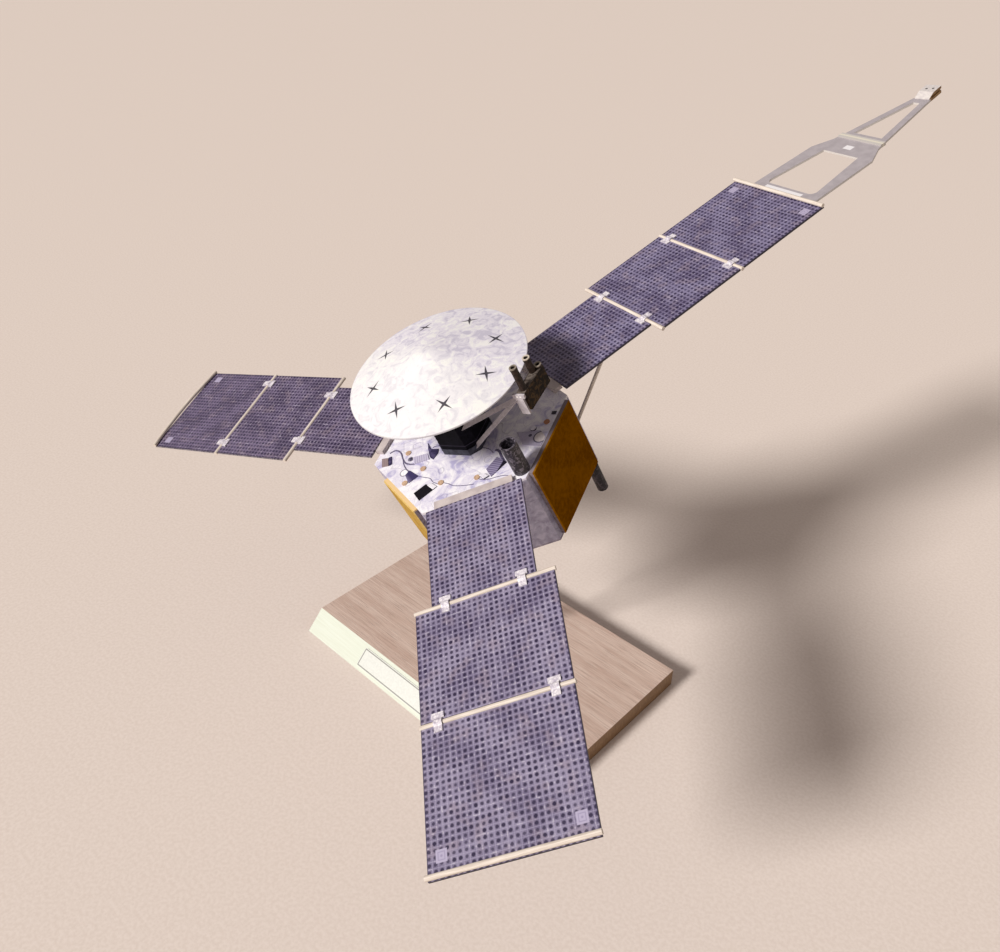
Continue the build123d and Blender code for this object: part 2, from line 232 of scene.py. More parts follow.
def plain_card(name, place, size, tones, depth=0.05, roughness=0.5, detail=4, **constants):
    """Card with one mottling, which is its relief too."""
    material, point = new_material(name, place, roughness, **constants)
    tone, noise = mottled(material, point, size, tones, detail=detail)
    return finish(material, tone, noise, depth)


print("materials so far:", len(bpy.data.materials))

# %% [markdown]
# ## Plain shapes
# A plain shape on a print is a mask, full inside and 0 outside, worked out from the distance to its
# edge. An image would do the same, but a mask stays sharp at any size and needs no unwrapping.

# %% Distances and masks
SOFT = 0.12


def away(material, value, middle):
    """How far a value is from a middle one: |v - m|."""
    less = add(material, "Math", value, middle, operation="SUBTRACT")
    return add(material, "Math", less, operation="ABSOLUTE")


def past_box(material, point, centre, half):
    """Distance past a rectangle's sides, the larger of |x - cx| - hx and |y - cy| - hy; negative inside."""
    shifted = add(material, "VectorMath", point, (-centre[0], -centre[1], 0), operation="ADD")
    folded = add(material, "VectorMath", shifted, operation="ABSOLUTE")
    past = add(material, "VectorMath", folded, (*half, 0), operation="SUBTRACT")
    x, y = add(material, "SeparateXYZ", past).node.outputs[:2]
    return add(material, "Math", x, y, operation="MAXIMUM")


def rectangle(material, point, centre, half, amount=1):
    """The amount inside a rectangle and 0 outside it."""
    past = past_box(material, point, centre, half)
    return add(material, "MapRange", past, -SOFT, SOFT, amount, 0)


def outline(material, point, centre, half, width, amount=1):
    """The amount on the line around a rectangle, half of its width on either side."""
    off_line = add(material, "Math", past_box(material, point, centre, half), operation="ABSOLUTE")
    return add(material, "MapRange", off_line, 0.4 * width, 0.6 * width, amount, 0)


def disc(material, point, centre, radius, amount=1):
    """The amount inside a circle: the distance to its centre, with z left out, is under the radius."""
    shift = (-centre[0], -centre[1], 0)
    flat = add(material, "VectorMath", point, (1, 1, 0), shift, operation="MULTIPLY_ADD")
    distance = add(material, "VectorMath", flat, operation="LENGTH")
    return add(material, "MapRange", distance, radius - SOFT, radius + SOFT, amount, 0)


def ring(material, point, centre, outer, inner, amount=1):
    """The amount between two circles: the larger disc less the smaller one."""
    discs = [disc(material, point, centre, radius, amount) for radius in (outer, inner)]
    return add(material, "Math", *discs, operation="SUBTRACT")


print("masks fade over", 2 * SOFT, "mm")

# %% [markdown]
# ## Camera
# The photo was matched to the corners of the base, the body and the wings. That gave the camera's place,
# where it looks and its lens. The image is 1000 by 952 pixels. A focal length in pixels becomes a lens in
# millimetres by the sensor's width over the image's width.

# %% Camera
IMAGE_WIDTH = 1000
FOCAL_PIXELS = 918.43
SENSOR_WIDTH = 36
CAMERA_PLACE = (0.23973, -0.24446, 0.35027)
CAMERA_LOOK = (-0.56418, 0.60040, -0.56677)
CAMERA_UP = (-0.39511, 0.40642, 0.82384)

look = Vector(CAMERA_LOOK).normalized()
side = look.cross(Vector(CAMERA_UP)).normalized()
above = side.cross(look)
camera_data = bpy.data.cameras.new("camera")
camera_data.sensor_width = SENSOR_WIDTH
camera_data.sensor_fit = "HORIZONTAL"
camera_data.lens = SENSOR_WIDTH * FOCAL_PIXELS / IMAGE_WIDTH
camera = bpy.data.objects.new("camera", camera_data)
bpy.context.scene.collection.objects.link(camera)
camera.matrix_world = Matrix.Translation(CAMERA_PLACE) @ Matrix((side, above, -look)).transposed().to_4x4()
bpy.context.scene.camera = camera
print("lens", round(camera_data.lens, 2), "mm")

# %% [markdown]
# ## Light
# The photo has one large lamp low in front and to the left, and its soft shadows fall to the right
# and back. A sun whose disc is 14 degrees wide gives the same soft edge everywhere, and it lights the
# whole floor evenly, which a near lamp wouldn't. A strength of pi shows a white card that faces the
# sun as plain white. This sun is 1.22 times as strong, because most of the card is lit at a slant.
# A pale, warm world fills the shadows, and camera rays that miss the floor see a paler tone of it.

# %% Light
SUN_WAY = (0.193, 0.835, -0.515)
SUN_STRENGTH = math.pi * 1.22
SUN_WIDTH = 14
FILL = 0.30

sun_data = bpy.data.lights.new("key_sun", "SUN")
sun_data.energy = SUN_STRENGTH
sun_data.angle = math.radians(SUN_WIDTH)
sun_data.color = colour("#FFFBF6")[:3]
sun = bpy.data.objects.new("key_sun", sun_data)
bpy.context.scene.collection.objects.link(sun)
sun.rotation_euler = Vector(SUN_WAY).to_track_quat("-Z", "Y").to_euler()

world = bpy.data.worlds.new("pale_room")
bpy.context.scene.world = world
world.use_nodes = True
fill = world.node_tree.nodes["Background"]
fill.inputs["Color"].default_value = colour("#F2E5DC")
fill.inputs["Strength"].default_value = FILL
seen = add(world, "LightPath").node.outputs["Is Camera Ray"]
backdrop = add(world, "Background", "#EFE9E4", 1.0)
choice = add(world, "MixShader", seen, fill.outputs[0], backdrop)
world.node_tree.links.new(choice, world.node_tree.nodes["World Output"].inputs[0])
print("sun", round(sun_data.energy, 2), "fill", FILL)

# %% [markdown]
# ## Surfaces from grids, and the floor
# Every mesh made here is a grid of points, such as the points of a path by the points of a section.
# One function turns any such grid into a mesh, so the shapes themselves are only formulas. The floor
# is the smallest grid of all, two points by two, dressed as pale table card.

# %% Surfaces and floor
FLOOR_HALF = 5.0


def surface(name, points, material, closed=False):
    """Mesh from a grid of points, (rows, columns, 3) in metres: each cell of the grid is one face.

    A closed one joins the last column to the first, and has a face over its first and last row.
    """
    rows, columns = points.shape[:2]
    index = np.arange(rows * columns).reshape(rows, columns)
    wide = np.hstack([index, index[:, :1]]) if closed else index
    quads = np.stack([wide[:-1, :-1], wide[1:, :-1], wide[1:, 1:], wide[:-1, 1:]], -1).reshape(-1, 4)
    ends = [index[0].tolist(), index[-1, ::-1].tolist()] if closed else []
    mesh = bpy.data.meshes.new(name)
    mesh.from_pydata(points.reshape(-1, 3).tolist(), [], quads.tolist() + ends)
    mesh.update()
    mesh.materials.append(material)
    made = bpy.data.objects.new(name, mesh)
    bpy.context.scene.collection.objects.link(made)
    return made


floor_sides = [-FLOOR_HALF, FLOOR_HALF]
floor_grid = np.stack(np.meshgrid(floor_sides, floor_sides, [0.0], indexing="ij"), -1).reshape(2, 2, 3)
floor = surface("floor", floor_grid, plain_card(
    "pale_table_card", board, 1.5, ("#E8DAD1", "#F0E3DB"), roughness=0.75))
print("floor", 2 * FLOOR_HALF, "m wide")

# %% [markdown]
# ## Solar panels
# The wings are card with a printed sheet of solar cells glued on top: rows of dark violet dots about
# 1.1 mm wide, 2.08 mm apart, on lilac, with thin light lines between the cells. The dots could be an
# image, but a repeating pattern is sharper and has no seams. The position divided by the spacing is
# split in two: its whole part says which cell it is, and its fraction says where in the cell it is.
# The distance from the cell's middle draws the dot. One random value for each cell makes some dots
# smaller and paler, as ink does on card.

# %% Ink of the solar cells
CELL = 2.08
LATTICE_SHIFT = 0.15
# Each wing's sheet has its own tone, darker on the right wing and darkest on the left as painted shade where
# the light falls off: (dark patches, pale patches, lines, cut edge)
SHADED_SHEET_TONES = {
    "front": ("#675E7B", "#89819B", "#AAA3BC", "#1D1828"),
    "right": ("#544B6B", "#777090", "#9C95B1", "#2A2436"),
    "left": ("#463B55", "#665A76", "#9C91AD", "#857E88"),
}


def lattice(material, point, start, width):
    """Where a point is in its cell, in cells: (off its middle, nearness to its sides, random value)."""
    shift = (-start / CELL, width / 2 / CELL + LATTICE_SHIFT, 0)
    cell = add(material, "VectorMath", point, (1 / CELL, 1 / CELL, 0), shift, operation="MULTIPLY_ADD")
    inside = add(material, "VectorMath", cell, operation="FRACTION")
    centred = add(material, "VectorMath", inside, (0.5, 0.5, 0), operation="SUBTRACT")
    off_middle = add(material, "VectorMath", centred, operation="LENGTH")
    folded = add(material, "VectorMath", centred, operation="ABSOLUTE")
    x, y = add(material, "SeparateXYZ", folded).node.outputs[:2]
    edge = add(material, "Math", x, y, operation="MAXIMUM")
    corner = add(material, "VectorMath", cell, operation="FLOOR")
    chance = add(material, "TexWhiteNoise", corner, noise_dimensions="3D")
    return off_middle, edge, chance


def lilac_ground(material, point, edge, tones):
    """Print between the dots: patches, light lines between cells, dark specks, rosy stains, worn lines."""
    dark_patch, pale_patch, line = tones
    ground = mottled(material, point, 13, (dark_patch, pale_patch), 0.38, 0.62, detail=5, grit=0.6)[0]
    ground = graded(material, edge, 0.41, 0.49, ground, line, 0.5)
    ground = blotted(material, point, 0.45, ground, "#4B4262", 0.45, 0.75, 0.3, detail=2)
    ground = blotted(material, point, 6, ground, "#8F7F8B", 0.50, 0.66, 0.35)
    wear = add(material, "TexNoise", Vector=point, Scale=1 / 1.6, Detail=2)
    worn = add(material, "MapRange", wear, 0.56, 0.67, 0, 0.4)
    near_line = add(material, "MapRange", edge, 0.33, 0.47)
    worn = add(material, "Math", worn, near_line, operation="MULTIPLY")
    return add(material, "Mix", worn, ground, "#D3CDDC")


def dots(material, off_middle, smudge, chance):
    """Round dots of uneven width and strength, as a mask."""
    wobbly = add(material, "Math", smudge, 0.16, off_middle, operation="MULTIPLY_ADD")
    wobbly = add(material, "Math", chance, 0.08, wobbly, operation="MULTIPLY_ADD")
    mask = add(material, "MapRange", wobbly, 0.33, 0.47, 1, 0)
    ink = add(material, "Math", chance, -0.30, 1.0, operation="MULTIPLY_ADD")
    return add(material, "Math", mask, ink, operation="MULTIPLY")


print("cells are", CELL, "mm apart")

# %% [markdown]
# ## Whole panels
# A panel's material holds the sheet, the card's cut edge and its plain grey underside, told apart by
# the height above the sheet. Two small pads with a frame and a dot are printed near each wing's tip.
# The cut edge is dark where the ink ran over it and card-coloured where it didn't.

# %% Solar panels
PANEL_WIDTHS = {"inner": 41.6, "middle": 55.0, "outer": 55.0}
INNER_START = 42.0
JOINT_GAP = 1.2
PAD_INSET = 6.8
PAD_ASIDE = 22.6


def corner_pad(material, point, centre, under):
    """Pale printed pad with a darker frame and dot."""
    frame_sides = [rectangle(material, point, centre, half, 0.6) for half in ((1.35, 1.25), (1.05, 0.95))]
    frame_line = add(material, "Math", *frame_sides, operation="SUBTRACT")
    marks = add(material, "Math", frame_line, disc(material, point, centre, 0.4, 0.6), operation="MAXIMUM")
    pad = add(material, "Mix", marks, "#AAA2BC", "#857C9C")
    return add(material, "Mix", rectangle(material, point, centre, (2.0, 1.9)), under, pad)


def solar_print(name, place, tones, start, width, pads):
    """Printed cells on the face z = 0 of a panel, cut edges and a plain underside."""
    *ground_tones, cut_edge = tones
    material, point = new_material(name, place, 0.52, Specular_IOR_Level=0.4)
    off_middle, edge, chance = lattice(material, point, start, width)
    smudge = add(material, "TexNoise", Vector=point, Scale=1 / 0.7, Detail=2)
    ground = lilac_ground(material, point, edge, ground_tones)
    printed = add(material, "Mix", dots(material, off_middle, smudge, chance), ground, "#251B3B")
    for centre in pads:
        printed = corner_pad(material, point, centre, printed)
    across, height = add(material, "SeparateXYZ", point).node.outputs[1:]
    aside = add(material, "Math", across, operation="ABSOLUTE")
    printed = graded(material, aside, width / 2 - 0.35, width / 2 - 0.2, printed, "#2E2742", 0.8)
    cut = graded(material, smudge, 0.40, 0.52, "#2B2430", cut_edge)
    back, fibre = mottled(material, point, 0.9, ("#6F6980", "#7C768D"))
    sheet = graded(material, height, -CARD + 0.03, -CARD + 0.10, back, cut)
    return finish(material, graded(material, height, -0.10, -0.03, sheet, printed), fibre, 0.04)


for wing in WINGS:
    joint_1, joint_2, tip = WINGS[wing][3:]
    starts = {"inner": INNER_START, "middle": joint_1 + JOINT_GAP, "outer": joint_2 + JOINT_GAP}
    tip_pads = [(tip - PAD_INSET, side * PAD_ASIDE) for side in (1, -1)]
    for panel, start in starts.items():
        pads = tip_pads if panel == "outer" else []
        # Each wing takes its own sheet tones, which carry its painted shade.
        settings = (wing_frame(wing), SHADED_SHEET_TONES[wing], start, PANEL_WIDTHS[panel], pads)
        dress([f"wing_{wing}_{panel}_panel"], solar_print(f"solar_print_{wing}_{panel}", *settings))
print("panels dressed:", len(WINGS) * len(PANEL_WIDTHS))

# %% [markdown]
# ## Sticks and struts
# The sticks are thin round dowels of pale limewood, turned and left bare, so they are matt with fine
# streaks along their length. Noise whose blobs are 9 mm long and 0.35 mm wide gives those streaks.

# %% Limewood
STREAK_LENGTH = 9.0
STREAK_WIDTH = 0.35


def limewood(name, place, along):
    """Pale wood with streaks along one axis of the frame."""
    stretch = [STREAK_WIDTH] * 3
    stretch[along] = STREAK_LENGTH
    material, point = new_material(name, place, 0.68, stretch)
    tone, streaks = mottled(material, point, 1.0, ("#E0D6CC", "#C1B3A7"), 0.3, 0.72, grit=0.6)
    return finish(material, tone, streaks, 0.06, 0.6)


for wing in WINGS:
    dress([f"wing_{wing}_sticks"], limewood(f"limewood_{wing}_across", wing_frame(wing), 1))
    dress([f"wing_{wing}_struts"], limewood(f"limewood_{wing}_along", wing_frame(wing), 0))
print("sticks and struts dressed")

# %% [markdown]
# ## Clips and root strips
# The clips are folded from white paper with a faint printed fitting on them. The borders between
# random cells, each about 1.2 mm wide, pass for its fine lines. The strips at the wings' roots are
# plain grey card.

# %% Clip paper and root strips
CELLS_PER_MM = 0.85


def clip_paper(wing):
    """White paper with a faint print of small cells and lines."""
    material, point = new_material(f"clip_paper_{wing}", wing_frame(wing), 0.45)
    off_line = add(material, "TexVoronoi", Vector=point, Scale=CELLS_PER_MM, feature="DISTANCE_TO_EDGE")
    lines = add(material, "MapRange", off_line, 0.05, 0.16, 0.35, 0)
    paper, tone = mottled(material, point, 1.2, ("#E4DFE4", "#BDB5C2"), 0.42, 0.66, detail=3)
    return finish(material, add(material, "Mix", lines, paper, "#8B8299"), tone, 0.05)


for wing in WINGS:
    dress([f"wing_{wing}_clips"], clip_paper(wing))

root_card, point = new_material("root_strip_card", probe, 0.6)
grey = mottled(root_card, point, 6, ("#AFA3A4", "#C8BDBB"))[0]
finish(root_card, grey, add(root_card, "TexNoise", Vector=point, Scale=1 / 0.8, Detail=3), 0.04)
dress([f"wing_{wing}_root_strip" for wing in WINGS], root_card)
print("clips and root strips dressed")

# %% [markdown]
# ## Crumpled foil, printed
# The real probe is wrapped in foil, and the card model has a picture of crumpled foil printed on it.
# The print is soft: swirls of a dark, a middle and a light tone, with thin dark veins between them. One
# noise, bent by its own distortion, is cut into the three tones, and a second one is dark where it
# crosses its middle value, which happens along thin winding lines.

# %% Foil print


def foil_print(name, place, tones, size, roughness=0.45, veins=0.5, **constants):
    """Swirls of three tones from dark to light, with thin veins; size is the swirls' size in millimetres."""
    dark, mid, light = tones
    material, point = new_material(name, place, roughness, **constants)
    swirl = add(material, "TexNoise", Vector=point, Scale=1 / size, Detail=5, Roughness=0.58, Distortion=1.3)
    base = graded(material, swirl, 0.36, 0.50, dark, mid)
    base = graded(material, swirl, 0.50, 0.62, base, light)
    ripple = add(material, "TexNoise", Vector=point, Scale=1.3 / size, Detail=4, Distortion=2.0)
    vein = add(material, "MapRange", away(material, ripple, 0.5), 0.004, 0.022, veins, 0)
    in_light = add(material, "MapRange", swirl, 0.40, 0.52)
    vein = add(material, "Math", vein, in_light, operation="MULTIPLY")
    return material, point, add(material, "Mix", vein, base, dark), swirl


def foil_card(name, place, tones, size, **settings):
    """Foil print all over."""
    material, _, base, swirl = foil_print(name, place, tones, size, **settings)
    return finish(material, base, swirl, 0.15, 0.35)


dress(["body_walls"], foil_card("wall_foil_print", probe, ("#908AA4", "#A5A2BA", "#B7B3C9"), 4, veins=0.3))
dress(["bottom_deck"], foil_card("underside_foil_print", probe, ("#7B7288", "#9A92A6", "#B9B2C0"), 7))
dress(["lower_tubes"], foil_card(
    "lower_tube_foil_print", probe, ("#151217", "#28232A", "#4C464E"), 2.2, Specular_IOR_Level=0.25))
dress(["deck_tubes"], foil_card("deck_tube_foil_print", probe, ("#100D14", "#27222B", "#6E6772"), 1.7))
print("walls and tubes dressed")

# %% [markdown]
# ## Deck
# The deck is printed with very pale foil. Fine lines show where the real craft has its equipment: a
# round plate and a smaller eye, each with a dark ring, three boxes and a thin ring. Faint contour
# lines wind over the whole deck: a slow noise, folded back and forth, is dark at each fold.

# %% Deck print
ROUND_PLATE = (-30.7, -12.0)
EYE = (-27.7, -4.9)
THIN_RING = (7.8, -21.5)
LINE = 0.3
# (middle, half of its length and width)
FINE_BOXES = [((-26.2, 3.4), (4.6, 3.0)), ((-24.4, 2.2), (1.9, 1.3)), ((-9.0, -35.0), (2.6, 1.5))]

deck_print, point, base, swirl = foil_print(
    "deck_foil_print", probe, ("#AFAACD", "#DCD8E6", "#EFEDF2"), 9, veins=0.3)
white_marks = [disc(deck_print, point, ROUND_PLATE, 1.7), disc(deck_print, point, EYE, 0.5)]
plate_ring = ring(deck_print, point, ROUND_PLATE, 2.1, 1.7, 0.8)
eye_ring = ring(deck_print, point, EYE, 1.3, 0.5, 0.8)
fine = ring(deck_print, point, THIN_RING, 1.9, 1.6, 0.45)
for middle, half in FINE_BOXES:
    box_line = outline(deck_print, point, middle, half, LINE, 0.45)
    fine = add(deck_print, "Math", fine, box_line, operation="MAXIMUM")
slow_noise = add(deck_print, "TexNoise", Vector=point, Scale=1 / 20, Detail=1)
off_fold = add(deck_print, "Math", slow_noise, 0.07, operation="PINGPONG")
contours = add(deck_print, "MapRange", off_fold, 0.001, 0.004, 0.30, 0)
base = layered(
    deck_print, base, *[(mark, "#F4F2F6") for mark in white_marks], (plate_ring, "#4E475F"),
    (eye_ring, "#4E475F"), (fine, "#8A829B"), (contours, "#6E6880"))
finish(deck_print, base, swirl, 0.12, 0.3)
dress(["top_deck"], deck_print)
print("deck dressed, boxes:", len(FINE_BOXES))

# %% [markdown]
# ## Gold side panels
# Gold foil, again printed on card: a warm yellow-brown with fine mottling. The print covers the face and its
# bevelled rim, and the bevel is brighter as a painted highlight. The panel's narrow sides are lilac foil
# print, darker than the walls as painted shade, so the colour follows the height off the wall: lilac below
# the bevel, bright on it, gold on the face. The right and rear panels are a dark gold as painted shade, and
# the left panel is a paler gold as painted light, which runs on over its upper narrow side as a painted lit
# face.

# %% Gold print
WALL_OFF_AXIS = 39.3
PANEL_MIDDLE_DROP = -19.9
PANEL_HALF_HEIGHT = 19.35
RIM_WIDTH = 0.55
# (heading, where it starts and ends along the wall)
SIDE_PANELS = {"right": (-30, -20.0, 20.0), "rear": (90, -20.0, 20.0), "left": (210, -9.5, 18.3)}
# The right and rear panels' gold is dark as painted shade, and the left panel's is pale as painted light.
SHADED_GOLD = ("#693E00", "#865400", "#A26E14", "#7F747B")
# (dark, pale, bevel as a painted highlight, upper side)
LIT_AND_SHADED_GOLD_TONES = {"right": SHADED_GOLD, "rear": SHADED_GOLD, "left": ("#A07C38", "#B89854", "#C9B074", "#DFC08E")}


def gold_print(name, heading, start, end, tones):
    """Gold mottling on the face, a bevel brighter as a painted highlight, and lilac sides darker as painted
    shade.
    """
    dark, pale, bevel, upper = tones
    place = probe @ turned("Z", heading) @ moved(WALL_OFF_AXIS, (start + end) / 2, PANEL_MIDDLE_DROP)
    material, point = new_material(name, place, 0.6, Specular_IOR_Level=0.0)
    off_wall, along, height = add(material, "SeparateXYZ", point).node.outputs
    mottle = add(material, "TexNoise", Vector=point, Scale=1 / 2.2, Detail=6, Roughness=0.68)
    patch = add(material, "TexNoise", Vector=point, Scale=1 / 17, Detail=3)
    fine_part = add(material, "Math", mottle, 0.6, operation="MULTIPLY")
    tone = add(material, "Math", patch, 0.4, fine_part, operation="MULTIPLY_ADD")
    gold = graded(material, tone, 0.36, 0.62, dark, pale)
    # The bevel's brighter tone is a painted highlight.
    rim = graded(material, mottle, 0.3, 0.7, pale, bevel)
    # The narrow sides' lilac is darker than the walls as painted shade.
    lilac = graded(material, mottle, 0.35, 0.65, "#6C6169", "#92878D")
    top = PANEL_HALF_HEIGHT
    # The upper narrow side has its own tone; on the left panel it is pale gold as a painted lit face.
    lilac = graded(material, height, top - 0.25, top - 0.05, lilac, upper)
    flat = add(material, "CombineXYZ", along, height, 0.0)
    face = rectangle(material, flat, (0, 0), ((end - start) / 2 - RIM_WIDTH, top))
    printed = add(material, "Mix", face, rim, gold)
    return finish(material, graded(material, off_wall, 1.7, 1.85, lilac, printed), mottle, 0.08, 0.4)


for name, (heading, start, end) in SIDE_PANELS.items():
    dress([f"side_panel_{name}"], gold_print(f"gold_print_{name}", heading, start, end, LIT_AND_SHADED_GOLD_TONES[name]))
print("gold panels dressed:", len(SIDE_PANELS))

# %% [markdown]
# ## Ring of stars
# Eight dark four-pointed stars are printed around the dish. They could be eight small meshes, but a
# printed mark has no thickness. The angle around the dish is folded into one eighth, so one star is
# drawn eight times. A star is two thin diamonds laid crosswise: |p| / long + |q| / short is under 1,
# or the other way round.

# %% Stars
STARS = 8
STAR_RING = 26.8
STAR_LONG = 4.3
STAR_SHORT = 0.62
STAR_START = 7.3
STAR_TILT = 45.0


def star_ring(material, x, y, radius):
    """Mask of the stars, from the place on the dish and the distance from its axis."""
    sector = 2 * math.pi / STARS
    cos_tilt = math.cos(math.radians(STAR_TILT - STAR_START))
    sin_tilt = math.sin(math.radians(STAR_TILT - STAR_START))
    angle = add(material, "Math", y, x, operation="ARCTAN2")
    angle = add(material, "Math", angle, math.radians(STAR_START), operation="SUBTRACT")
    angle = add(material, "Math", angle, -sector / 2, sector / 2, operation="WRAP")
    outwards, aside = (
        add(material, "Math", radius, add(material, "Math", angle, operation=part), operation="MULTIPLY")
        for part in ("COSINE", "SINE"))
    outwards = add(material, "Math", outwards, STAR_RING, operation="SUBTRACT")
    arms = []
    for first, second, sign in ((outwards, aside, 1), (aside, outwards, -1)):
        part = add(material, "Math", second, sign * sin_tilt, operation="MULTIPLY")
        whole = add(material, "Math", first, cos_tilt, part, operation="MULTIPLY_ADD")
        arms.append(add(material, "Math", whole, operation="ABSOLUTE"))
    diamonds = []
    for first, second in (arms, arms[::-1]):
        part = add(material, "Math", second, 1 / STAR_SHORT, operation="MULTIPLY")
        diamonds.append(add(material, "Math", first, 1 / STAR_LONG, part, operation="MULTIPLY_ADD"))
    nearest = add(material, "Math", *diamonds, operation="MINIMUM")
    return add(material, "MapRange", nearest, 0.88, 1.12, 0.94, 0)


print("a star every", 360 / STARS, "degrees")

# %% [markdown]
# ## Dish
# The dish's cover is a shallow paper cone. Its print is almost white with lilac creases, paler still on the
# side that faces the light as painted light, and its cut edge is darker. The bowl under it is card with a
# plain grey foil print.

# %% Dish print
LIT_SIDE_HEADING = 225.0
DISH_RIM_FADE = (38.05, 38.3)


def dish_print(name):
    """Pale creased print, paler on the side towards the light as painted light, with a ring of stars and a
    darker cut edge.
    """
    material, point, base, swirl = foil_print(name, dish, ("#C6C2D3", "#DFDBE6", "#ECEBEB"), 5, veins=0.36)
    x, y = add(material, "SeparateXYZ", point).node.outputs[:2]
    flat = add(material, "VectorMath", point, (1, 1, 0), operation="MULTIPLY")
    radius = add(material, "VectorMath", flat, operation="LENGTH")
    lit_side_way = (math.cos(math.radians(LIT_SIDE_HEADING)), math.sin(math.radians(LIT_SIDE_HEADING)), 0)
    towards = add(material, "VectorMath", point, lit_side_way, operation="DOT_PRODUCT")
    # The side towards the light is painted paler, as painted light.
    base = graded(material, towards, -8, 6, base, "#ECEDE6", 0.38)
    base = add(material, "Mix", star_ring(material, x, y, radius), base, "#211D2C")
    base = graded(material, radius, *DISH_RIM_FADE, base, "#8A8494", 0.35)
    return finish(material, base, swirl, 0.2, 0.35)


dress(["dish_cover"], dish_print("dish_print"))
dress(["dish_bowl"], foil_card("bowl_card", dish, ("#57515F", "#746D7C", "#8F8897"), 8, roughness=0.55))
print("dish dressed")

# %% [markdown]
# ## Vault and its band
# The vault is a box of dark card with two thin lighter lines printed around it. Its band is a strip
# of paler card around the foot. Both are matt, so their reflection is kept low.

# %% Vault print
VAULT_LINES_MIDDLE = 12.5
VAULT_LINES_OFF = 7.0

vault_print, point = new_material("vault_dark_print", vault, 0.6, Specular_IOR_Level=0.05)
base, mottle = mottled(vault_print, point, 1.6, ("#07060B", "#15131C"), detail=5, grit=0.6)
off_line = add(vault_print, "SeparateXYZ", point).node.outputs[2]
for distance in (VAULT_LINES_MIDDLE, VAULT_LINES_OFF):
    off_line = away(vault_print, off_line, distance)
lines = add(vault_print, "MapRange", off_line, 0.1, 0.3, 0.4, 0)
finish(vault_print, add(vault_print, "Mix", lines, base, "#5A5468"), mottle, 0.06)
dress(["vault_box"], vault_print)
dress(["vault_band"], plain_card(
    "vault_band_card", vault, 2, ("#34353F", "#4D4E5A"), roughness=0.6, Specular_IOR_Level=0.15))
print("vault dressed")

# %% [markdown]
# ## Pod of the thruster tower
# The pod is folded card with a brown foil print and a paler lid, told apart by their height.

# %% Pod
LID_HEIGHT = 29.9

pod_print, point, base, swirl = foil_print(
    "pod_foil_print", tower, ("#0E0703", "#20150B", "#4B3820"), 2.6, Specular_IOR_Level=0.08)
height = add(pod_print, "SeparateXYZ", point).node.outputs[2]
lid = graded(pod_print, swirl, 0.40, 0.60, "#453C38", "#6B625C")
finish(pod_print, graded(pod_print, height, LID_HEIGHT - 0.02, LID_HEIGHT + 0.05, base, lid), swirl, 0.1)
dress(["tower_right_pod"], pod_print)
print("pod dressed")

# %% [markdown]
# ## Nozzle tubes
# The nozzles are rolled from dark brown paper. Their cut ends show the paper's bare cream core, one of
# them more than the others, so the cream fades in over the last half millimetre of each tube.

# %% Nozzles
TUBE_REACH = 1.75
# (middle, height of its mouth, how bare its end is)
NOZZLES = [((42.1, -2.8), 41.5, 0.35), ((41.8, 6.7), 37.4, 0.85), ((43.4, 9.3), 31.4, 0.5)]

nozzle_paper, point = new_material("nozzle_paper", tower, 0.55, Specular_IOR_Level=0.2)
height = add(nozzle_paper, "SeparateXYZ", point).node.outputs[2]
paper, tone = mottled(nozzle_paper, point, 1.1, ("#1C1411", "#3A2C25"))
cream = mottled(nozzle_paper, point, 1.1, ("#BEB09F", "#DCD1C3"))[0]
bare = 0.0
for centre, mouth, bareness in NOZZLES:
    end = add(nozzle_paper, "MapRange", height, mouth - 0.5, mouth - 0.3, 0, bareness)
    rim = add(nozzle_paper, "Math", disc(nozzle_paper, point, centre, TUBE_REACH), end, operation="MULTIPLY")
    bare = add(nozzle_paper, "Math", bare, rim, operation="MAXIMUM")
finish(nozzle_paper, add(nozzle_paper, "Mix", bare, paper, cream), tone, 0.06)
dress(["tower_right_tubes"], nozzle_paper)
print("nozzles dressed:", len(NOZZLES))

# %% [markdown]
# ## Bracket and stays
# The bracket and the stays are strips of light grey card, a little paler at the top. Two white pin
# heads are printed side by side on the bracket.

# %% Stays
PINS = [(40.0, 28.7), (41.5, 28.7)]

stay_card, point = new_material("stay_card", tower, 0.5)
reach, _, height = add(stay_card, "SeparateXYZ", point).node.outputs
upright = add(stay_card, "CombineXYZ", reach, height, 0.0)
base, tone = mottled(stay_card, point, 1.4, ("#A8A1A6", "#C2BBBF"), detail=5, grit=0.6)
pale = mottled(stay_card, point, 1.4, ("#B2ABB0", "#CBC4C8"), detail=5, grit=0.6)[0]
base = graded(stay_card, height, 25.5, 27.5, base, pale)
pin_heads = [(disc(stay_card, upright, pin, 0.42), "#F3F0EE") for pin in PINS]
finish(stay_card, layered(stay_card, base, *pin_heads), tone, 0.05)
dress(["tower_right_frame"], stay_card)
print("stays dressed")

# %% [markdown]
# ## Dark pieces on the deck
# Small flat pieces of card stand for the equipment on the deck. Most are violet. A ribbed box, a
# trapezoid that fades along its length and one black box are printed differently, and a disc around
# each of them says where its own print holds.

# %% Dark deck pieces
RIB_SPACING = 1.0472
# Blender's bands repeat every pi / 10 divided by their scale
RIB_SCALE = math.pi / 10 / RIB_SPACING
TRAPEZOID = (-27.4, -15.6)
RIBBED_BOX = (10.7, -27.2)
BLACK_BOX = (-22.0, -27.6)

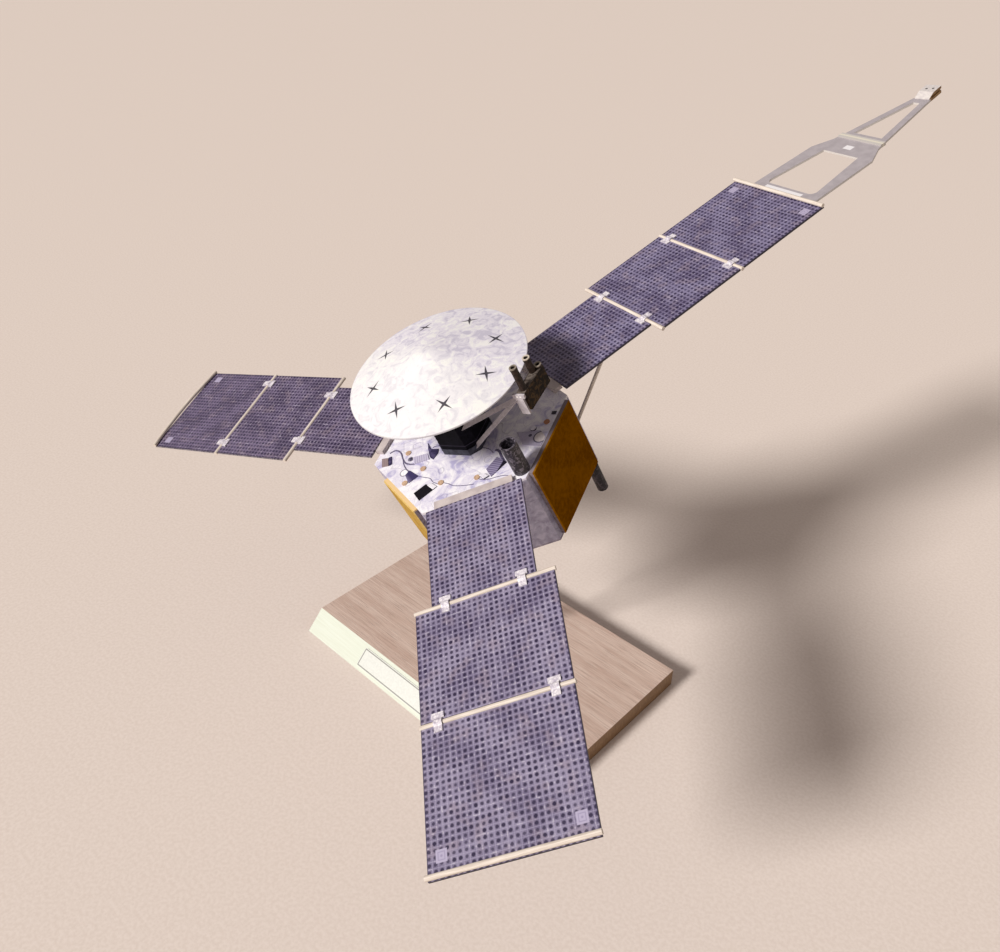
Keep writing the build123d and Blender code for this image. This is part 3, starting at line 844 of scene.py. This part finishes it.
dark_card, point = new_material("deck_dark_card", probe, 0.55, Specular_IOR_Level=0.2)
base, tone = mottled(dark_card, point, 1.6, ("#2B2545", "#4E4669"), 0.35, 0.65)
lengthwise = in_millimetres(dark_card, probe @ moved(*TRAPEZOID, 0) @ turned("Z", 28))
along = add(dark_card, "SeparateXYZ", lengthwise)
trapezoid = graded(dark_card, along, -3.2, -0.2, "#7F7797", "#3A335C")
box_point = in_millimetres(dark_card, probe @ moved(*RIBBED_BOX, 0) @ turned("Z", -34))
wave = add(dark_card, "TexWave", Vector=box_point, Scale=RIB_SCALE, Distortion=0.3, bands_direction="Y")
ribbed = graded(dark_card, wave.node.outputs["Fac"], 0.35, 0.75, "#6A6282", "#9088A4")
ribbed = graded(dark_card, add(dark_card, "SeparateXYZ", box_point), 1.9, 2.4, ribbed, "#1B1726")
base = layered(
    dark_card, base, (disc(dark_card, point, TRAPEZOID, 4.6), trapezoid),
    (disc(dark_card, point, RIBBED_BOX, 6.5), ribbed), (disc(dark_card, point, BLACK_BOX, 6.0), "#0D0A14"))
finish(dark_card, base, tone, 0.1)
dress(["deck_dark_pieces"], dark_card)
print("dark deck pieces dressed")

# %% [markdown]
# ## Pale pieces and discs on the deck
# The pale pieces are a ribbed pad, a brownish square and a pan with a round cap. The small discs are
# tan card, but one is printed orange.

# %% Pale deck pieces and discs
SQUARE = (-39.8, 1.0)
PAN = (27.4, -18.0)
CAP = (31.3, -19.6)
PAN_DOT = (27.1, -16.7)
ORANGE_DISC = (34.9, -11.9)

pale_card, point = new_material("deck_pale_card", probe, 0.5)
turned_point = in_millimetres(pale_card, probe @ turned("Z", 3))
wave = add(pale_card, "TexWave", Vector=turned_point, Scale=RIB_SCALE, Distortion=0.3, bands_direction="X")
wave = wave.node.outputs["Fac"]
ribbed = graded(pale_card, wave, 0.4, 0.8, "#BEB8CE", "#8F88A4", 0.5)
square = rectangle(pale_card, turned_point, SQUARE, (2.6, 4.2))
cloudy = add(pale_card, "TexNoise", Vector=turned_point, Scale=1 / 3, Detail=3)
dark_marks = [disc(pale_card, point, PAN_DOT, 0.8), ring(pale_card, point, CAP, 3.2, 2.7)]
pan = layered(
    pale_card, "#9A92B0", (cloudy, "#C9C3D6"), (disc(pale_card, point, CAP, 2.7), "#D6CDD0"),
    (add(pale_card, "Math", *dark_marks, operation="MAXIMUM"), "#3A3452"))
base = layered(pale_card, ribbed, (square, "#8E7B7C"), (disc(pale_card, point, PAN, 8.5), pan))
finish(pale_card, base, wave, 0.1)
dress(["deck_light_pieces"], pale_card)

tan_card, point = new_material("deck_tan_card", probe, 0.5)
base, tone = mottled(tan_card, point, 0.8, ("#AE8E74", "#C9AC90"), detail=3)
orange = disc(tan_card, point, ORANGE_DISC, 1.6)
finish(tan_card, add(tan_card, "Mix", orange, base, "#A4704F"), tone, 0.05)
dress(["deck_discs"], tan_card)
print("pale deck pieces and discs dressed")

# %% [markdown]
# ## Ridges along a path
# A cable that is glued flat on the deck is a thin half-round ridge carried along a smooth path. The
# path is a Catmull-Rom curve: between each two points it is the cubic that meets both, with the slope
# of the line from the point before to the point after. The grid of one ridge has the path along one
# side and the section along the other.

# %% Paths and ridges
POINTS_PER_SPAN = 10
SECTION_POINTS = 7


def smooth_path(points):
    """Catmull-Rom points: 0.5 * (2b + (c - a) t + (2a - 5b + 4c - d) t^2 + (3b - a - 3c + d) t^3)."""
    knots = np.array(points, float)
    knots = np.vstack([2 * knots[0] - knots[1], knots, 2 * knots[-1] - knots[-2]])
    a, b, c, d = knots[:-3, None], knots[1:-2, None], knots[2:-1, None], knots[3:, None]
    t = np.linspace(0, 1, POINTS_PER_SPAN, endpoint=False)[None, :, None]
    square, cube = 2 * a - 5 * b + 4 * c - d, 3 * b - a - 3 * c + d
    curve = 0.5 * (2 * b + (c - a) * t + square * t ** 2 + cube * t ** 3)
    return np.vstack([curve.reshape(-1, 2), knots[-2]])


def ridge(path, half_width, height):
    """Half-round section carried along a flat path: sideways half_width cos(a), upwards height sin(a)."""
    tangent = np.gradient(path, axis=0)
    tangent /= np.linalg.norm(tangent, axis=1, keepdims=True)
    sideways = np.stack([-tangent[:, 1], tangent[:, 0]], 1)
    angle = np.linspace(0, math.pi, SECTION_POINTS)
    plan = path[:, None] + sideways[:, None] * (half_width * np.cos(angle))[None, :, None]
    rise = np.broadcast_to((height * np.sin(angle))[None, :, None], (*plan.shape[:2], 1))
    return np.concatenate([plan, rise], -1)


def placed(points, place):
    """Points in millimetres in a frame, as metres in the CAD frame."""
    turn = np.array(place.to_3x3())
    return points @ turn.T * MM + np.array(place.translation)


print("points on each span of a path:", POINTS_PER_SPAN)

# %% [markdown]
# ## Printed cables on the deck
# Thin dark cables run between the boxes. The first run and its branch are a harness, the strap is
# broad, and the others are single leads. Their places were measured on the deck in the photo.

# %% Cables
CABLES = {
    "left_loop": [
        (-37.7, 3.4), (-34.7, 3.8), (-32.3, 1.2), (-31.3, -3.1), (-30.1, -6.2), (-27.9, -8.1), (-25.6, -9.0)],
    "left_branch": [(-31.3, -3.1), (-30.8, -7.1), (-29.4, -10.9), (-28.2, -12.3)],
    "box_to_plate": [(-24, -17.2), (-21.4, -19), (-18.7, -20.9), (-17.4, -23.5), (-15.2, -25.7)],
    "middle_run": [(-12.2, -26.4), (-10.2, -27.9), (-8.5, -29.6), (-5.4, -31.1), (-1.9, -32.3), (0.7, -32.8)],
    "right_loop": [
        (2.9, -30.9), (4.8, -32.2), (7.4, -33.0), (10.1, -33.2), (13.1, -33.6), (15.1, -34.4), (17, -35.9)],
    "chevron_tail": [(-16.9, -2.8), (-15.2, -2.6), (-13.5, -3.3)],
    "vault_lead": [(4.0, -12.8), (6.1, -13.8), (8.2, -15.3), (9.5, -17.2), (10.3, -19.0)],
    "vault_strap": [(11.4, -17.6), (12.9, -19.0), (13.6, -22.1), (14.4, -25.2), (15.2, -27.0)],
}
CABLE_HALF_WIDTHS = {"left_loop": 0.38, "left_branch": 0.26, "vault_strap": 0.6}
LEAD_HALF_WIDTH = 0.16
CABLE_HEIGHT = 0.22

cable_paint = plain_card(
    "cable_dark_paint", probe, 1.0, ("#4B4460", "#6F6886"), depth=0.03, roughness=0.45, detail=2)
for name, points in CABLES.items():
    section = ridge(smooth_path(points), CABLE_HALF_WIDTHS.get(name, LEAD_HALF_WIDTH), CABLE_HEIGHT)
    cable = surface(f"cable_{name}", placed(section, probe), cable_paint, closed=True)
    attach(cable, "root")
print("cables", len(CABLES))

# %% [markdown]
# ## Card chips on the deck
# A few small chips of card lie between the cables. A chip is its outline at three heights: the foot,
# the shoulder and a slightly smaller top, so its rim is softly bevelled.

# %% Chips
# (slot, height, colour, outline about the spin axis)
CHIPS = {
    "white_chip": (
        "white_card", 0.55, "#EDEBF0", [(-20.0, -24.7), (-17.9, -24.1), (-15.6, -27.1), (-17.4, -28.2)]),
    "connector": ("white_card", 0.9, "#E4E1EA", [(3.4, -29.6), (5.8, -29.4), (7.6, -31.6), (5.2, -32.3)]),
    "dark_chip": ("dark_card", 0.5, "#1F1A26", [(37.9, -6.9), (39.9, -7.7), (39.0, -9.2), (37.4, -8.2)]),
    "small_chip": ("dark_card", 0.5, "#3A3450", [(-28.2, -4.6), (-26.9, -4.5), (-26.7, -6.2), (-27.9, -6.3)]),
}
CHIP_SHOULDER = 0.7
CHIP_INSET = 0.84


def chip(points, height):
    """Outline at the foot and at the shoulder, and drawn in towards its middle at the top."""
    plan = np.array(points, float)
    middle = plan.mean(0)
    rows = [(plan, 0.0), (plan, CHIP_SHOULDER * height), (middle + (plan - middle) * CHIP_INSET, height)]
    return np.stack([np.column_stack([row, np.full(len(plan), level)]) for row, level in rows])[:, ::-1]


def chip_material(name, hex_text, height):
    """Card of one tone, darker on its sides below two thirds of its height, with a faint mottling; on the
    bead that dark lower part is painted shade.
    """
    material, point = new_material(name, probe, 0.55, Specular_IOR_Level=0.3)
    level = add(material, "SeparateXYZ", point).node.outputs[2]
    mottle = add(material, "TexNoise", Vector=point, Scale=1 / 0.8, Detail=3)
    top = graded(material, mottle, 0.3, 0.7, hex_text, "#8B849C", 0.25)
    # Below two thirds of the height the card is dark: a chip's sides, and painted shade on the bead.
    printed = graded(material, level, 0.66 * height, 0.72 * height, "#2E2840", top)
    return finish(material, printed, mottle, 0.04)


for name, (slot_name, height, hex_text, points) in CHIPS.items():
    chip_card = chip_material(f"{name}_card", hex_text, height)
    piece = surface(name, placed(chip(points, height), probe), chip_card, closed=True)
    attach(piece, "root")
print("chips", len(CHIPS))

# %% [markdown]
# ## Bead on the deck
# One paper bead sits near the tower. It is a dome turned about the deck's normal, with the radius r cos(a) at
# the height r sin(a), and it ends in a small flat top. Its lower part is dark as painted shade.

# %% Bead
BEAD_PLACE = (28.8, -13.2)
BEAD_RADIUS = 1.4
BEAD_TOP = 0.46 * math.pi

climb = np.linspace(0, BEAD_TOP, 9)[:, None]
around = np.linspace(0, 2 * math.pi, 25)[None, :-1]
bead_reach = BEAD_RADIUS * np.cos(climb)
dome = np.stack(np.broadcast_arrays(
    BEAD_PLACE[0] + bead_reach * np.cos(around), BEAD_PLACE[1] + bead_reach * np.sin(around),
    BEAD_RADIUS * np.sin(climb)), -1)
# The bead's paper is dark on its lower part as painted shade.
bead_paper_with_shade = chip_material("bead_paper_with_shade", "#DAD6E2", 0.8)
bead = surface("deck_bead", placed(dome[:, ::-1], probe), bead_paper_with_shade, closed=True)
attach(bead, "root")
print("bead", 2 * BEAD_RADIUS, "mm wide")

# %% [markdown]
# ## Frames of the boom
# The boom is light grey card with a narrow white strip near the wing and a plain white mark near the
# fold. The marks are on the upper face only, and the card's cut edge is a little lighter.

# %% Boom frames
# (middle, half of its length and width)
BOOM_MARKS = [((2.0, 1.1), (1.4, 11.2)), ((44.2, 0.5), (1.6, 2.3))]

boom_card, point = new_material("boom_grey_card", boom, 0.5)
height = add(boom_card, "SeparateXYZ", point).node.outputs[2]
base = mottled(boom_card, point, 4, ("#9F989D", "#AAA3A8"), detail=5, grit=0.55)[0]
marks = [(rectangle(boom_card, point, centre, half, 0.8), "#ECEAEE") for centre, half in BOOM_MARKS]
fibre = add(boom_card, "TexNoise", Vector=point, Scale=1 / 0.7, Detail=3)
base = layered(boom_card, base, *marks)
finish(boom_card, graded(boom_card, height, -0.12, -0.04, "#CFCBC8", base), fibre, 0.05)
dress(["boom_lower_frame", "boom_upper_frame"], boom_card)
print("boom frames dressed")

# %% [markdown]
# ## Fold strip and sensor box
# The fold of the boom is a raised strip with a yellowish crease. The sensor box at the end is brown
# card with a white top that slopes down towards the fold and has two dark spots. The height above
# that top is the height in the box's frame plus what the slope has dropped by.

# %% Fold strip and sensor box
FOLD_MIDDLE = 52.2
SENSOR_START = (93.6, 0.0, 2.0)
SENSOR_TURN = 8.0
SENSOR_SLOPE_LENGTH = 4.0
SENSOR_SLOPE_DROP = 1.7
SENSOR_SPOTS = [(6.6, 1.5), (7.3, -1.5)]

fold_card, point = new_material("boom_fold_card", boom, 0.5)
off_crease = away(fold_card, add(fold_card, "SeparateXYZ", point), FOLD_MIDDLE)
crease = add(fold_card, "MapRange", off_crease, 0.35, 0.7, 1, 0)
tone = add(fold_card, "TexNoise", Vector=point, Scale=1 / 1.2, Detail=3)
finish(fold_card, add(fold_card, "Mix", crease, "#BDB8B4", "#D3CDBE"), tone, 0.05)
dress(["boom_fold_strip"], fold_card)

sensor_card, point = new_material("sensor_card", boom @ moved(*SENSOR_START) @ turned("Z", SENSOR_TURN), 0.5)
along, _, height = add(sensor_card, "SeparateXYZ", point).node.outputs
down_slope = add(sensor_card, "Math", SENSOR_SLOPE_LENGTH, along, operation="SUBTRACT")
down_slope = add(sensor_card, "Math", down_slope, 0.0, operation="MAXIMUM")
drop = SENSOR_SLOPE_DROP / SENSOR_SLOPE_LENGTH
above_top = add(sensor_card, "Math", down_slope, drop, height, operation="MULTIPLY_ADD")
on_top = add(sensor_card, "MapRange", above_top, -0.12, -0.04)
near_end = add(sensor_card, "MapRange", along, 0.04, 0.10, 1, 0)
paper = add(sensor_card, "Math", on_top, near_end, operation="MAXIMUM")
brown, tone = mottled(sensor_card, point, 1.5, ("#7C5A34", "#A07C4C"))
white = mottled(sensor_card, point, 1.5, ("#D3CDCA", "#C2BBBC"))[0]
spots = [(disc(sensor_card, point, spot, 0.6), "#2A2528") for spot in SENSOR_SPOTS]
white = layered(sensor_card, white, *spots)
finish(sensor_card, add(sensor_card, "Mix", paper, brown, white), tone, 0.05)
dress(["boom_sensor_box"], sensor_card)
print("fold strip and sensor box dressed")

# %% [markdown]
# ## Wooden base
# The base is a small board with a veneer of limed oak: a pinkish-brown ground with short darker pores and
# pale flecks of lime, all along the board. The bevel is bare sanded wood, painted paler still as light that
# falls full on it, and the ends are tan wood, darker partly as painted shade. A texture of planks would
# repeat, so the wood is noise whose blobs are stretched along X. The pores are 15 mm long and 0.24 mm wide.
# The direction that a face looks in tells top, bevel and ends apart.

# %% Limed oak
# Blobs' size along the board, across it and in its thickness
GRAIN = (22, 0.40, 3)
BANDS = (90, 5, 20)
PORES = (15, 0.24, 2)
LIME = (11, 0.5, 2)

base_wood, grain_point = new_material("limed_oak", board, 0.55, GRAIN)
bands_point, pores_point, lime_point = (
    in_millimetres(base_wood, board, stretch) for stretch in (BANDS, PORES, LIME))
veneer, grain = mottled(base_wood, grain_point, 1.0, ("#CAAFA1", "#E5D0C3"), 0.28, 0.72, detail=5, grit=0.65)
veneer = blotted(base_wood, bands_point, 1.0, veneer, "#C3A697", 0.4, 0.65, 0.55)
veneer = blotted(base_wood, lime_point, 1.0, veneer, "#E3D6CB", 0.54, 0.68, 0.4, detail=4)
veneer = blotted(base_wood, pores_point, 1.0, veneer, "#83685C", 0.55, 0.66, 0.55)
# The ends are tan wood, darker partly as painted shade; the bevel is bare wood, paler partly as painted
# light.
tan = mottled(base_wood, grain_point, 1.0, ("#7C5C3E", "#9F7D58"), detail=5, grit=0.65)[0]
bare = mottled(base_wood, grain_point, 1.0, ("#CFD5C9", "#C7CCBD"), detail=5, grit=0.65)[0]
upwards = add(base_wood, "SeparateXYZ", add(base_wood, "NewGeometry").node.outputs["Normal"]).node.outputs[2]
wood = graded(base_wood, upwards, 0.4, 0.6, tan, bare)
finish(base_wood, graded(base_wood, upwards, 0.85, 0.95, wood, veneer), grain, 0.12)
dress(["base_board"], base_wood)
print("base dressed")

# %% [markdown]
# ## Rod and label
# The rod is the same limewood as the sticks, with its streaks upright. The label is plain white paper
# with a thin printed border.

# %% Rod and label
BORDER_HALF = (41.8, 4.45)
BORDER_WIDTH = 0.6

dress(["support_rod"], limewood("rod_dowel", board, 2))

label_paper, point = new_material("label_paper", label, 0.5)
paper, tone = mottled(label_paper, point, 1.0, ("#D1D3CE", "#C9CBC6"))
border = outline(label_paper, point, (0, 0), BORDER_HALF, BORDER_WIDTH, 0.8)
finish(label_paper, add(label_paper, "Mix", border, paper, "#6A6862"), tone, 0.03)
dress(["name_label"], label_paper)
print("rod and label dressed")

# %% [markdown]
# ## Finish
# The Standard view shows each colour about as it is written.

# %% Finish
bpy.context.scene.view_settings.view_transform = "Standard"
